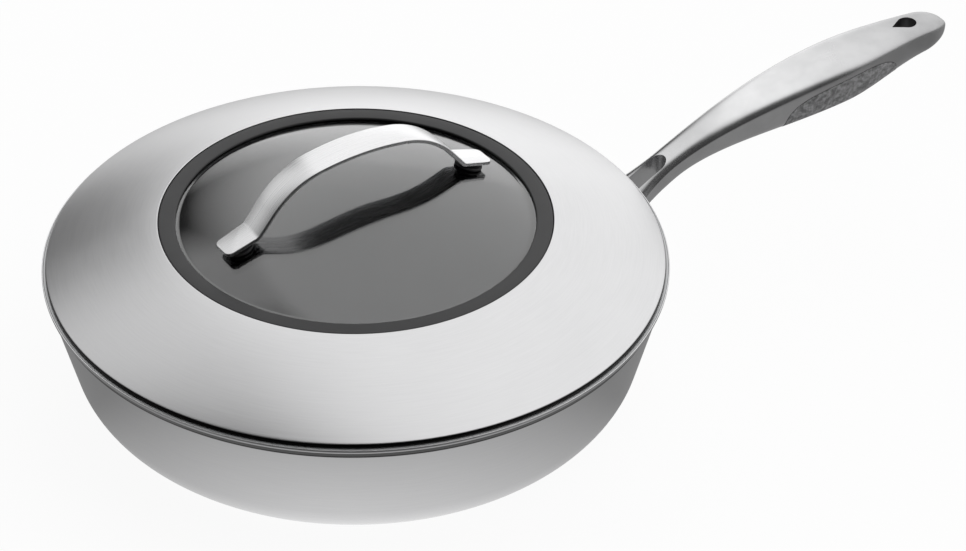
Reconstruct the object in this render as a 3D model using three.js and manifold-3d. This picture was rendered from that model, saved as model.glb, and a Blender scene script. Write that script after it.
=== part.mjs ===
import * as THREE from 'three';
import { mergeVertices } from 'three/addons/utils/BufferGeometryUtils.js';
import Module from 'manifold-3d';

const wasm = await Module();
wasm.setup();

// Driving dimensions, in millimetres and degrees

// pan body
const PAN_HEIGHT = 66;
const RIM_RADIUS = 145;
const BASE_RADIUS = 105;
const CORNER_RADIUS = 29;
const LIP_HEIGHT = 4.5;
const LIP_FLARE = 1.8;
const OUTER_PLY = 0.6;
const CORE_PLY = 2.4;
const INNER_PLY = 0.5;
const BOND_LINE = 0.05;

// pan handle, a casting riveted to the wall
const HANDLE_REACH = 189;
const HANDLE_TIP_RISE = 35.5;
const HANDLE_ROOT_DROP = 20;
const HANDLE_ROOT_SINK = 8;
const FORK_HALF_WIDTH = 13.5;
const NECK_HALF_WIDTH = 7.9;
const GRIP_HALF_WIDTH = 15;
const TAIL_HALF_WIDTH = 9.1;
const FORK_DEPTH = 9;
const NECK_DEPTH = 12.2;
const GRIP_DEPTH = 27;
const TAIL_DEPTH = 16;
const SLOT_WIDTH = 10;
const SLOT_REACH = 24;
const HANG_HOLE_RADIUS = 4.2;
const HANG_HOLE_POINT = 12;
const HANG_HOLE_TO_TIP = 23;
const INSERT_RISE = 17;
const INSERT_THICKNESS = 2.5;
const PLATE_THICKNESS = 3.5;
const PLATE_MARGIN = 7;

// where the neck, grip, insert and tip lie, as parts of the way along the top line
const NECK_SHARE = 0.3;
const GRIP_SHARE = 0.77;
const INSERT_FROM_SHARE = 0.58;
const INSERT_TO_SHARE = 0.9;
const TIP_SHARE = 0.95;

// arms that bend the top line of the handle, as parts of its reach and of its rise at the tip
const ROOT_ARM_REACH_SHARE = 0.066;
const ROOT_ARM_RISE_SHARE = -0.078;
const GRIP_ARM_REACH_SHARE = 0.431;
const GRIP_ARM_RISE_SHARE = 1.157;

// oval section of the handle: how far down it is widest, and how round it is (1 is an ellipse)
const SHOULDER_SHARE = 0.4;
const SECTION_POWER = 0.8;

// how round the upper edge of the insert is, seen from the side
const LEAF_POWER = 0.6;

// rivets
const RIVET_RADIUS = 3;
const RIVET_HEAD_RADIUS = 5.5;
const RIVET_HEAD_HEIGHT = 1.6;
const RIVET_TAIL_RADIUS = 4.6;
const RIVET_TAIL_HEIGHT = 1.2;
const RIVET_CROWN_SHARE = 0.6;
const RIVET_SPREAD = 9;
const UPPER_RIVET_HEIGHT = 46;
const RIVET_TO_CORNER = 3.7;

// lid ring, a folded steel pressing
const LID_SHEET = 1;
const LID_INSET = 1.7;
const LID_EDGE_HEIGHT = 2.2;
const LID_EDGE_ROUND = 1.1;
const LID_RISE = 22.6;
const LID_CROWN = 1.5;
const LID_EDGE_SLOPE = THREE.MathUtils.degToRad(27);
const LID_WINDOW_SLOPE = THREE.MathUtils.degToRad(16);
const LID_TURN = THREE.MathUtils.degToRad(3.5);
const WINDOW_RADIUS = 91;
const JOGGLE_DEPTH = 1.4;
const LEDGE_WIDTH = 2.7;
const SKIRT_DEPTH = 5;
const SKIRT_CLEARANCE = 2.5;

// seal, and glass with a flat rim about a dome
const GLASS_THICKNESS = 4;
const GLASS_FLAT = 4;
const GLASS_RISE = 16.5;
const SEAL_WEB = 2.3;
const SEAL_FLANGE = 1;
const SEAL_COVER = 2.8;
const SEAL_FIT = 0.2;

// lid handle, a strap bent to an arch, with its pads square to the dome
const FOOT_SPREAD = 123;
const FOOT_HEIGHT = 3;
const STRAP_THICKNESS = 2;
const STRAP_WIDTH = 16;
const PAD_WIDTH = 12.5;
const PAD_LENGTH = 13.5;
const FINGER_ROOM = 22.8;
const LEG_ANGLE = THREE.MathUtils.degToRad(51);
const CROWN_ANGLE = THREE.MathUtils.degToRad(10.5);
const CROWN_RADIUS = 120;
const BEND_RADIUS = 4;

// fasteners of the lid handle
const SCREW_RADIUS = 2.3;
const SCREW_HEAD_RADIUS = 4.4;
const SCREW_HEAD_HEIGHT = 2.6;
const SCREW_CHAMFER = 0.6;
const SOCKET_RADIUS = 1.75;
const SOCKET_DEPTH = 1.6;
const BOSS_RADIUS = 3.6;
const BOSS_ROOF = 1.2;
const SPACER_RADIUS = 5.2;
const GLASS_HOLE_RADIUS = 4;
const WASHER_RADIUS = 6.6;
const UPPER_WASHER = 1.2;
const LOWER_WASHER = 1.5;
const STEEL_WASHER = 1;

// clearance between pieces, and how finely round shapes are divided
const FIT = 0.3;
const RING_SEGMENTS = 48;
const SMALL_SEGMENTS = 16;
const CORNER_STEPS = 4;
const CROWN_STEPS = 4;
const EDGE_STEPS = 2;
const DOME_STEPS = 4;
const ARCH_STEPS = 5;
const BEND_STEPS = 3;
const HANDLE_STEPS = 20;
const TIP_STEPS = 4;
const TIP_BLUNT_STEPS = 0.4;
const SECTION_POINTS = 16;

// Sizes that follow from the driving dimensions

const HALF_TURN = Math.PI;
const QUARTER_TURN = Math.PI / 2;
const FOOT_Z = PAN_HEIGHT - LIP_HEIGHT;
const FOOT_R = RIM_RADIUS - LIP_FLARE;
const CORNER_TO_FOOT = new THREE.Vector2(FOOT_R - BASE_RADIUS, FOOT_Z - CORNER_RADIUS);
const WALL_ANGLE = Math.atan2(CORNER_TO_FOOT.x, CORNER_TO_FOOT.y)
  - Math.asin(CORNER_RADIUS / CORNER_TO_FOOT.length());
const CORNER_TOP = CORNER_RADIUS * (1 - Math.sin(WALL_ANGLE));
const LOWER_RIVET_HEIGHT = CORNER_TOP + RIVET_HEAD_RADIUS + RIVET_TO_CORNER;
const CORE_OUTSIDE = OUTER_PLY + BOND_LINE;
const CORE_INSIDE = CORE_OUTSIDE + CORE_PLY;
const LINER_OUTSIDE = CORE_INSIDE + BOND_LINE;
const WALL = LINER_OUTSIDE + INNER_PLY;
const FACET_SAG = RIM_RADIUS * (1 - Math.cos(HALF_TURN / RING_SEGMENTS));

const LID_SEAT = PAN_HEIGHT + FIT;
const LID_RADIUS = RIM_RADIUS - LID_INSET;
const LID_TOP = PAN_HEIGHT + LID_RISE;
const SKIRT_RADIUS = RIM_RADIUS - LIP_FLARE - WALL - SKIRT_CLEARANCE;
const LEDGE_TOP = LID_TOP - JOGGLE_DEPTH;
const LEDGE_RADIUS = WINDOW_RADIUS - LEDGE_WIDTH;
const GLASS_TOP = LEDGE_TOP;
const GLASS_BOTTOM = GLASS_TOP - GLASS_THICKNESS;
const WEB_OUTSIDE = LEDGE_RADIUS - SEAL_FIT;
const WEB_INSIDE = WEB_OUTSIDE - SEAL_WEB;
const GLASS_RADIUS = WEB_INSIDE - SEAL_FIT;

const DOME_FOOT = GLASS_RADIUS - GLASS_FLAT;
const DOME_RADIUS = (DOME_FOOT ** 2 + GLASS_RISE ** 2) / (2 * GLASS_RISE);
const DOME_MIDDLE = GLASS_TOP + GLASS_RISE - DOME_RADIUS;
const PAD_X = FOOT_SPREAD / 2;
const PAD_TILT = Math.asin(PAD_X / DOME_RADIUS);
const PAD_LEVEL = DOME_MIDDLE + DOME_RADIUS * Math.cos(PAD_TILT);

// heights along the axis of a pad, from the top of the glass
const PAD_TOP = FOOT_HEIGHT + STRAP_THICKNESS;
const PAD_BOTTOM = FOOT_HEIGHT;
const SPACER_BOTTOM = UPPER_WASHER;
const LOWER_WASHER_TOP = -GLASS_THICKNESS - 2 * FIT;
const LOWER_WASHER_BOTTOM = LOWER_WASHER_TOP - LOWER_WASHER;
const STEEL_WASHER_BOTTOM = LOWER_WASHER_BOTTOM - STEEL_WASHER;
const SCREW_TIP = PAD_TOP - BOSS_ROOF - FIT;

// Shape helpers

function at(x, y) {
  return new THREE.Vector2(x, y);
}

function arc(cx, cy, radius, from, to, steps) {
  const points = [];
  for (let i = 0; i <= steps; i += 1) {
    const angle = from + ((to - from) * i) / steps;
    points.push(at(cx + radius * Math.cos(angle), cy + radius * Math.sin(angle)));
  }
  return points;
}

// circle arc from a to b that swells to the left of the way from a to b
function bulge(a, b, sagitta, steps) {
  const chord = b.clone().sub(a);
  const radius = (chord.lengthSq() / 4 + sagitta * sagitta) / (2 * sagitta);
  const left = at(-chord.y, chord.x).normalize();
  const centre = a.clone().add(b).multiplyScalar(0.5).addScaledVector(left, sagitta - radius);
  const half = Math.asin(chord.length() / 2 / radius);
  const middle = left.angle();
  return arc(centre.x, centre.y, radius, middle + half, middle - half, steps);
}

// closed body from a geometry, turned so that its faces look outward
function body(geometry) {
  geometry.deleteAttribute('normal');
  geometry.deleteAttribute('uv');
  const merged = mergeVertices(geometry, 1e-4);
  const { array } = merged.attributes.position;
  const index = merged.index.array;
  const corner = [0, 1, 2].map(() => new THREE.Vector3());
  const triangles = [];
  let volume = 0;
  for (let i = 0; i < index.length; i += 3) {
    const triangle = Array.from(index.slice(i, i + 3));
    if (new Set(triangle).size < 3) continue;
    triangle.forEach((vertex, k) => corner[k].fromArray(array, 3 * vertex));
    volume += corner[0].dot(corner[1].cross(corner[2]));
    triangles.push(triangle);
  }
  if (volume < 0) triangles.forEach((triangle) => triangle.reverse());
  return new wasm.Manifold(new wasm.Mesh({
    numProp: 3,
    vertProperties: new Float32Array(array),
    triVerts: new Uint32Array(triangles.flat()),
  }));
}

// body turned about the z axis from a profile of (radius, height) points
function turned(profile, segments = RING_SEGMENTS) {
  return body(new THREE.LatheGeometry(profile, segments).rotateX(QUARTER_TURN));
}

// body turned from a profile that closes on itself
function ring(profile, segments = RING_SEGMENTS) {
  return turned([...profile, profile[0]], segments);
}

function washer(inside, outside, bottom, top) {
  const profile = [at(inside, bottom), at(outside, bottom), at(outside, top), at(inside, top)];
  return ring(profile, SMALL_SEGMENTS);
}

function pin(radius, bottom, top, segments = SMALL_SEGMENTS) {
  const cylinder = new THREE.CylinderGeometry(radius, radius, top - bottom, segments);
  return body(cylinder.rotateX(QUARTER_TURN).translate(0, 0, (top + bottom) / 2));
}

// outline in x and y, carried up from one height to another
function upright(outline, bottom, top) {
  const settings = { depth: top - bottom, bevelEnabled: false };
  return body(new THREE.ExtrudeGeometry(new THREE.Shape(outline), settings).translate(0, 0, bottom));
}

// outline in x and z, carried along y by equal amounts to both sides
function sideways(outline, width) {
  const settings = { depth: width, bevelEnabled: false };
  const geometry = new THREE.ExtrudeGeometry(new THREE.Shape(outline), settings);
  return body(geometry.translate(0, 0, -width / 2).rotateX(QUARTER_TURN));
}

// outline in y and z, carried along x from one place to another
function outward(outline, from, to) {
  const settings = { depth: to - from, bevelEnabled: false };
  const geometry = new THREE.ExtrudeGeometry(new THREE.Shape(outline), settings);
  return body(geometry.rotateX(QUARTER_TURN).rotateZ(QUARTER_TURN).translate(from, 0, 0));
}

// skin over equal rings of points, closed by a flat cap at each end
function loft(rings) {
  const count = rings[0].length;
  const last = (rings.length - 1) * count;
  const index = [];
  for (let i = 0; i < last; i += count) {
    for (let j = 0; j < count; j += 1) {
      const a = i + j;
      const b = i + ((j + 1) % count);
      index.push(a, b, b + count, a, b + count, a + count);
    }
  }
  for (let j = 1; j < count - 1; j += 1) {
    index.push(0, j + 1, j, last, last + j, last + j + 1);
  }
  const geometry = new THREE.BufferGeometry().setFromPoints(rings.flat());
  geometry.setIndex(index);
  return body(geometry);
}

// value that eases from stop to stop and is level at each stop
function eased(t, stops) {
  const next = Math.max(1, stops.findIndex(([place]) => place >= t));
  const [from, low] = stops[next - 1];
  const [to, high] = stops[next];
  return low + (high - low) * THREE.MathUtils.smoothstep(t, from, to);
}

// Materials and scene graph

function finish(color, roughness, metalness) {
  return new THREE.MeshStandardMaterial({ color, roughness, metalness });
}

const satinSteel = finish(0xc4c5c6, 0.36, 1);
const aluminium = finish(0xb7babd, 0.5, 1);
const nonstick = finish(0x2e2e30, 0.5, 0.2);
const silicone = finish(0x2b2b2d, 0.65, 0);
const smokedGlass = finish(0x6e7173, 0.1, 0);
const gripRubber = finish(0x727375, 0.75, 0);

const part = new THREE.Group();
const pan = new THREE.Group();
const lid = new THREE.Group();
part.add(pan, lid);

function node(name, solid, material) {
  const { vertProperties, triVerts } = solid.getMesh();
  const geometry = new THREE.BufferGeometry();
  geometry.setAttribute('position', new THREE.BufferAttribute(vertProperties, 3));
  geometry.setIndex(new THREE.BufferAttribute(triVerts, 1));
  const mesh = new THREE.Mesh(geometry, material);
  mesh.name = name;
  return mesh;
}

// Pan body: three plies that follow one curve, from the middle of the base to the rim

function panCurve(depth) {
  const round = CORNER_RADIUS - depth;
  return [
    at(0, depth),
    ...arc(BASE_RADIUS, CORNER_RADIUS, round, -QUARTER_TURN, -WALL_ANGLE, CORNER_STEPS),
    at(FOOT_R - depth / Math.cos(WALL_ANGLE), FOOT_Z),
    at(RIM_RADIUS - depth, FOOT_Z + LIP_FLARE),
    at(RIM_RADIUS - depth, PAN_HEIGHT),
  ];
}

function ply(outside, inside) {
  return turned([...panCurve(outside), ...panCurve(inside).reverse()]);
}

function filledPan(depth) {
  return turned([...panCurve(depth), at(0, PAN_HEIGHT)]);
}

// Rivets, square to the wall, each in its own bore

const rivetSeats = [
  { name: 'handle_rivet_left', turn: RIVET_SPREAD, height: UPPER_RIVET_HEIGHT },
  { name: 'handle_rivet_right', turn: -RIVET_SPREAD, height: UPPER_RIVET_HEIGHT },
  { name: 'handle_rivet_lower', turn: 0, height: LOWER_RIVET_HEIGHT },
];

function wallRadius(height) {
  return FOOT_R - (FOOT_Z - height) * Math.tan(WALL_ANGLE);
}

// from the z axis of the geometry to the line square to the wall at the seat
function onWall(geometry, seat) {
  geometry.rotateY(QUARTER_TURN + WALL_ANGLE);
  geometry.translate(wallRadius(seat.height), 0, seat.height);
  return body(geometry.rotateZ(THREE.MathUtils.degToRad(seat.turn)));
}

function rivet(seat) {
  const head = -(WALL + FACET_SAG + FIT);
  const tail = FIT + PLATE_THICKNESS + FIT;
  const profile = [
    at(0, head - RIVET_HEAD_HEIGHT),
    at(RIVET_CROWN_SHARE * RIVET_HEAD_RADIUS, head - RIVET_HEAD_HEIGHT),
    at(RIVET_HEAD_RADIUS, head),
    at(RIVET_RADIUS, head),
    at(RIVET_RADIUS, tail),
    at(RIVET_TAIL_RADIUS, tail),
    at(RIVET_CROWN_SHARE * RIVET_TAIL_RADIUS, tail + RIVET_TAIL_HEIGHT),
    at(0, tail + RIVET_TAIL_HEIGHT),
  ];
  return onWall(new THREE.LatheGeometry(profile, SMALL_SEGMENTS).rotateX(QUARTER_TURN), seat);
}

function withRivetBores(solid) {
  const radius = RIVET_RADIUS + FIT;
  const length = 3 * (WALL + PLATE_THICKNESS);
  return rivetSeats.reduce((rest, seat) => {
    const bore = new THREE.CylinderGeometry(radius, radius, length, SMALL_SEGMENTS);
    return rest.subtract(onWall(bore.rotateX(QUARTER_TURN), seat));
  }, solid);
}

pan.add(
  node('outer_skin', withRivetBores(ply(0, OUTER_PLY)), satinSteel),
  node('aluminium_core', withRivetBores(ply(CORE_OUTSIDE, CORE_INSIDE)), aluminium),
  node('inner_liner', withRivetBores(ply(LINER_OUTSIDE, WALL)), nonstick),
  ...rivetSeats.map((seat) => node(seat.name, rivet(seat), satinSteel)),
);

// Pan handle: oval sections lofted along its top line, from inside the wall to the tip

const topLine = new THREE.CubicBezierCurve(
  at(RIM_RADIUS - HANDLE_ROOT_SINK, PAN_HEIGHT - HANDLE_ROOT_DROP),
  at(RIM_RADIUS + ROOT_ARM_REACH_SHARE * HANDLE_REACH, PAN_HEIGHT + ROOT_ARM_RISE_SHARE * HANDLE_TIP_RISE),
  at(RIM_RADIUS + GRIP_ARM_REACH_SHARE * HANDLE_REACH, PAN_HEIGHT + GRIP_ARM_RISE_SHARE * HANDLE_TIP_RISE),
  at(RIM_RADIUS + HANDLE_REACH, PAN_HEIGHT + HANDLE_TIP_RISE),
);

function handleWidth(t) {
  return eased(t, [
    [0, FORK_HALF_WIDTH], [NECK_SHARE, NECK_HALF_WIDTH], [GRIP_SHARE, GRIP_HALF_WIDTH], [1, TAIL_HALF_WIDTH],
  ]);
}

function handleDepth(t) {
  return eased(t, [[0, FORK_DEPTH], [NECK_SHARE, NECK_DEPTH], [GRIP_SHARE, GRIP_DEPTH], [1, TAIL_DEPTH]]);
}

// point of the side view at a depth below the top line
function belowTop(t, depth) {
  const along = topLine.getTangent(t);
  return topLine.getPoint(t).addScaledVector(at(along.y, -along.x), depth);
}

function softened(value, power = SECTION_POWER) {
  return Math.sign(value) * Math.abs(value) ** power;
}

// oval that is widest at its shoulder; the shrink factor and the inset draw it in about the shoulder
function handleSection(t, shrink, inset = 0) {
  const shoulder = SHOULDER_SHARE * handleDepth(t);
  const points = [];
  for (let i = 0; i < SECTION_POINTS; i += 1) {
    const angle = (2 * HALF_TURN * i) / SECTION_POINTS;
    const down = softened(Math.sin(angle));
    const reach = down > 0 ? handleDepth(t) - shoulder : shoulder;
    const place = belowTop(t, shoulder + down * (shrink * reach - inset));
    const across = (shrink * handleWidth(t) - inset) * softened(Math.cos(angle));
    points.push(new THREE.Vector3(place.x, across, place.y));
  }
  return points;
}

function handleBlank() {
  const sections = [];
  for (let i = 0; i <= HANDLE_STEPS; i += 1) {
    sections.push(handleSection((TIP_SHARE * i) / HANDLE_STEPS, 1));
  }
  for (let i = 1; i <= TIP_STEPS; i += 1) {
    const angle = (QUARTER_TURN * i) / (TIP_STEPS + TIP_BLUNT_STEPS);
    sections.push(handleSection(TIP_SHARE + (1 - TIP_SHARE) * Math.sin(angle), Math.cos(angle)));
  }
  return loft(sections);
}

// middle of the handle, over the stretch where the insert wraps it
function handleCore(inset) {
  const sections = [];
  for (let i = 0; i <= HANDLE_STEPS / 2; i += 1) {
    const t = THREE.MathUtils.mapLinear(i, 0, HANDLE_STEPS / 2, NECK_SHARE, TIP_SHARE);
    sections.push(handleSection(t, 1, inset));
  }
  return loft(sections);
}

// leaf below an arch, as seen from the side, that bounds the insert
function bellyLeaf(clearance) {
  const lift = at(0, clearance);
  const from = belowTop(INSERT_FROM_SHARE, handleDepth(INSERT_FROM_SHARE)).add(lift);
  const to = belowTop(INSERT_TO_SHARE, handleDepth(INSERT_TO_SHARE)).add(lift);
  const floor = from.y - GRIP_DEPTH;
  const middle = from.clone().add(to).multiplyScalar(0.5);
  const half = to.clone().sub(middle);
  const up = at(-half.y, half.x).setLength(INSERT_RISE);
  const arch = arc(0, 0, 1, HALF_TURN, 0, 2 * CROWN_STEPS).map(({ x, y }) => middle.clone()
    .addScaledVector(half, softened(x, LEAF_POWER)).addScaledVector(up, softened(y, LEAF_POWER)));
  return sideways([...arch, at(to.x, floor), at(from.x, floor)], 4 * GRIP_HALF_WIDTH);
}

function forkSlot() {
  const round = SLOT_WIDTH / 2;
  const end = RIM_RADIUS + SLOT_REACH - round;
  const outline = arc(end, 0, round, -QUARTER_TURN, QUARTER_TURN, 2 * CROWN_STEPS);
  return upright([...outline, at(BASE_RADIUS, round), at(BASE_RADIUS, -round)], 0, 2 * PAN_HEIGHT);
}

// teardrop with its point towards the pan
function hangHole() {
  const middle = RIM_RADIUS + HANDLE_REACH - HANG_HOLE_TO_TIP;
  const touch = HALF_TURN - Math.acos(HANG_HOLE_RADIUS / HANG_HOLE_POINT);
  const round = arc(middle, 0, HANG_HOLE_RADIUS, -touch, touch, 3 * CROWN_STEPS);
  return upright([...round, at(middle - HANG_HOLE_POINT, 0)], 0, 2 * PAN_HEIGHT);
}

// plate on the wall, with a rounded corner about each rivet
function wallPlate() {
  const side = RIM_RADIUS * Math.sin(THREE.MathUtils.degToRad(RIVET_SPREAD));
  const slope = Math.atan2(side, UPPER_RIVET_HEIGHT - LOWER_RIVET_HEIGHT);
  const outline = [
    ...arc(0, LOWER_RIVET_HEIGHT, PLATE_MARGIN, slope - HALF_TURN, -slope, CROWN_STEPS),
    ...arc(side, UPPER_RIVET_HEIGHT, PLATE_MARGIN, -slope, QUARTER_TURN, CROWN_STEPS),
    ...arc(-side, UPPER_RIVET_HEIGHT, PLATE_MARGIN, QUARTER_TURN, HALF_TURN + slope, CROWN_STEPS),
  ];
  return outward(outline, BASE_RADIUS, 2 * RIM_RADIUS).intersect(filledPan(-FIT - PLATE_THICKNESS));
}

const blank = handleBlank();
const casting = blank
  .subtract(forkSlot())
  .subtract(hangHole())
  .subtract(bellyLeaf(FIT).subtract(handleCore(INSERT_THICKNESS + FIT)))
  .add(wallPlate())
  .subtract(filledPan(-FIT));
pan.add(
  node('pan_handle', withRivetBores(casting), satinSteel),
  node('grip_insert', blank.intersect(bellyLeaf(0)).subtract(handleCore(INSERT_THICKNESS)), gripRubber),
);

// Lid ring: one sheet, from the ledge for the seal out over the rim and back down inside the mouth

const edgeTop = LID_SEAT + LID_EDGE_HEIGHT - LID_EDGE_ROUND;
const edgeTurn = QUARTER_TURN - LID_EDGE_SLOPE;
const lidEdge = arc(LID_RADIUS - LID_EDGE_ROUND, edgeTop, LID_EDGE_ROUND, 0, edgeTurn, EDGE_STEPS);
const windowEdge = at(WINDOW_RADIUS, LID_TOP);
const lidOutside = bulge(windowEdge, lidEdge[EDGE_STEPS], LID_CROWN, CROWN_STEPS);
const lidInside = lidOutside.slice(1, -1).map(({ x, y }) => at(x, y - LID_SHEET));
const joggleTop = LID_TOP - LID_SHEET * (1 + Math.tan(LID_WINDOW_SLOPE));
lid.add(node('lid_ring', ring([
  at(SKIRT_RADIUS - LID_SHEET, LID_SEAT - SKIRT_DEPTH),
  at(SKIRT_RADIUS, LID_SEAT - SKIRT_DEPTH),
  at(SKIRT_RADIUS, LID_SEAT),
  at(LID_RADIUS, LID_SEAT),
  ...lidEdge.slice(0, -1),
  ...lidOutside.reverse(),
  at(WINDOW_RADIUS, LEDGE_TOP),
  at(LEDGE_RADIUS, LEDGE_TOP),
  at(LEDGE_RADIUS, LEDGE_TOP - LID_SHEET),
  at(WINDOW_RADIUS + LID_SHEET, LEDGE_TOP - LID_SHEET),
  at(WINDOW_RADIUS + LID_SHEET, joggleTop),
  ...lidInside,
  at(LID_RADIUS - LID_SHEET, edgeTop),
  at(LID_RADIUS - LID_SHEET, LID_SEAT + LID_SHEET),
  at(SKIRT_RADIUS - LID_SHEET, LID_SEAT + LID_SHEET),
]), satinSteel));

// Seal: its outer groove grips the ledge and its inner groove grips the glass

const flangeBottom = GLASS_TOP + SEAL_FIT;
const finTop = LEDGE_TOP - LID_SHEET - SEAL_FIT;
const lipTop = GLASS_BOTTOM - SEAL_FIT;
const sealInside = GLASS_RADIUS - SEAL_COVER;
const sealOutside = WINDOW_RADIUS - SEAL_FIT;
lid.add(node('glass_seal', ring([
  at(sealInside, flangeBottom),
  at(WEB_INSIDE, flangeBottom),
  at(WEB_INSIDE, lipTop),
  at(sealInside, lipTop),
  at(sealInside, lipTop - SEAL_FLANGE),
  at(WEB_OUTSIDE, lipTop - SEAL_FLANGE),
  at(WEB_OUTSIDE, finTop - SEAL_FLANGE),
  at(sealOutside, finTop - SEAL_FLANGE),
  at(sealOutside, finTop),
  at(WEB_OUTSIDE, finTop),
  at(WEB_OUTSIDE, flangeBottom),
  at(sealOutside, flangeBottom),
  at(sealOutside, flangeBottom + SEAL_FLANGE),
  at(sealInside, flangeBottom + SEAL_FLANGE),
]), silicone));

// Glass: a dome with a flat rim, and a bore below each pad of the lid handle

// one solid on the axis of each pad, which stands square to the dome
function atPads(solid) {
  const tilt = THREE.MathUtils.radToDeg(PAD_TILT);
  const right = solid.rotate([0, tilt, 0]).translate([PAD_X, 0, PAD_LEVEL]);
  return right.add(solid.rotate([0, -tilt, 0]).translate([-PAD_X, 0, PAD_LEVEL]));
}

// from the flat rim at a level up to the middle
function dome(level, radius) {
  return arc(0, DOME_MIDDLE, radius, Math.asin((level - DOME_MIDDLE) / radius), QUARTER_TURN, DOME_STEPS);
}

const glass = turned([
  ...dome(GLASS_BOTTOM, DOME_RADIUS - GLASS_THICKNESS).reverse(),
  at(GLASS_RADIUS, GLASS_BOTTOM),
  at(GLASS_RADIUS, GLASS_TOP),
  ...dome(GLASS_TOP, DOME_RADIUS),
]);
const glassBores = atPads(pin(GLASS_HOLE_RADIUS, LOWER_WASHER_BOTTOM, SPACER_BOTTOM));
lid.add(node('lid_glass', glass.subtract(glassBores), smokedGlass));

// Lid handle: the strap's side view from its middle line, then a plan that narrows to the pads

// direction square to the strap where it falls away from the middle at a slope
function squareTo(slope) {
  return at(Math.sin(slope), Math.cos(slope));
}

function alongSlopes(middle, radius, from, to, steps) {
  return arc(middle.x, middle.y, radius, QUARTER_TURN - from, QUARTER_TURN - to, steps);
}

const halfStrap = STRAP_THICKNESS / 2;
const padUp = squareTo(PAD_TILT);
const padOut = at(padUp.y, -padUp.x);
const padMiddle = at(PAD_X, PAD_LEVEL).addScaledVector(padUp, PAD_BOTTOM + halfStrap);
const padEnd = padMiddle.clone().addScaledVector(padOut, PAD_LENGTH / 2);
const bend = padMiddle.clone().addScaledVector(padOut, -PAD_LENGTH / 2).addScaledVector(padUp, BEND_RADIUS);
const strapTop = GLASS_TOP + GLASS_RISE + FINGER_ROOM + STRAP_THICKNESS;
const crown = at(0, strapTop - halfStrap - CROWN_RADIUS);

// the shoulder's arc meets the crown's arc and the straight leg without a kink
const legReach = bend.clone().sub(crown).dot(squareTo(LEG_ANGLE)) - BEND_RADIUS;
const turnShare = Math.cos(LEG_ANGLE - CROWN_ANGLE);
const shoulderRadius = (legReach - CROWN_RADIUS * turnShare) / (1 - turnShare);
const shoulder = crown.clone().addScaledVector(squareTo(CROWN_ANGLE), CROWN_RADIUS - shoulderRadius);

function strapSide(offset) {
  const right = [
    ...alongSlopes(crown, CROWN_RADIUS + offset, 0, CROWN_ANGLE, BEND_STEPS).slice(1),
    ...alongSlopes(shoulder, shoulderRadius + offset, CROWN_ANGLE, LEG_ANGLE, ARCH_STEPS).slice(1),
    ...alongSlopes(bend, offset - BEND_RADIUS, LEG_ANGLE, PAD_TILT, BEND_STEPS),
    padEnd.clone().addScaledVector(padUp, offset),
  ];
  const left = right.map(({ x, y }) => at(-x, y)).reverse();
  return [...left, at(0, crown.y + CROWN_RADIUS + offset), ...right];
}

const strap = sideways([...strapSide(halfStrap), ...strapSide(-halfStrap).reverse()], 2 * STRAP_WIDTH);
const padCorner = at(padEnd.x + halfStrap, PAD_WIDTH / 2);
const swell = (STRAP_WIDTH - PAD_WIDTH) / 2;
const farEdge = bulge(at(-padCorner.x, padCorner.y), padCorner, swell, 2 * CROWN_STEPS);
const nearEdge = farEdge.map(({ x, y }) => at(x, -y)).reverse();
const plan = upright([...farEdge, ...nearEdge], GLASS_TOP, strapTop + STRAP_THICKNESS);
const bosses = atPads(pin(BOSS_RADIUS, SPACER_BOTTOM, PAD_BOTTOM + halfStrap));
const threads = atPads(pin(SCREW_RADIUS + FIT, 0, SCREW_TIP + FIT));
lid.add(node('lid_handle', strap.intersect(plan).add(bosses).subtract(threads), satinSteel));

// What holds each pad: spacer and washer on the glass, then washer, steel washer and screw below it

function lowerWasher() {
  const bore = SCREW_RADIUS + FIT;
  const collar = GLASS_HOLE_RADIUS - FIT;
  return ring([
    at(bore, LOWER_WASHER_BOTTOM),
    at(WASHER_RADIUS, LOWER_WASHER_BOTTOM),
    at(WASHER_RADIUS, LOWER_WASHER_TOP),
    at(collar, LOWER_WASHER_TOP),
    at(collar, -FIT),
    at(bore, -FIT),
  ], SMALL_SEGMENTS);
}

function screw() {
  const headBottom = STEEL_WASHER_BOTTOM - SCREW_HEAD_HEIGHT;
  const shape = turned([
    at(0, headBottom),
    at(SCREW_HEAD_RADIUS - SCREW_CHAMFER, headBottom),
    at(SCREW_HEAD_RADIUS, headBottom + SCREW_CHAMFER),
    at(SCREW_HEAD_RADIUS, STEEL_WASHER_BOTTOM),
    at(SCREW_RADIUS, STEEL_WASHER_BOTTOM),
    at(SCREW_RADIUS, SCREW_TIP - SCREW_CHAMFER),
    at(SCREW_RADIUS - SCREW_CHAMFER, SCREW_TIP),
    at(0, SCREW_TIP),
  ], SMALL_SEGMENTS);
  return shape.subtract(pin(SOCKET_RADIUS, headBottom - SOCKET_DEPTH, headBottom + SOCKET_DEPTH, 6));
}

for (const [side, way] of [['left', -1], ['right', 1]]) {
  const foot = new THREE.Group();
  foot.position.set(way * PAD_X, 0, PAD_LEVEL);
  foot.rotation.y = way * PAD_TILT;
  const washerBore = SCREW_RADIUS + FIT;
  foot.add(
    node(
      `handle_spacer_${side}`,
      washer(BOSS_RADIUS + FIT, SPACER_RADIUS, SPACER_BOTTOM, PAD_BOTTOM),
      silicone,
    ),
    node(`upper_washer_${side}`, washer(washerBore, WASHER_RADIUS, 0, SPACER_BOTTOM), silicone),
    node(`lower_washer_${side}`, lowerWasher(), silicone),
    node(
      `steel_washer_${side}`,
      washer(washerBore, WASHER_RADIUS, STEEL_WASHER_BOTTOM, LOWER_WASHER_BOTTOM),
      satinSteel,
    ),
    node(`lid_screw_${side}`, screw(), satinSteel),
  );
  lid.add(foot);
}

// the loose lid lies a little round from the pan handle
lid.rotation.z = LID_TURN;

export default part;
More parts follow.
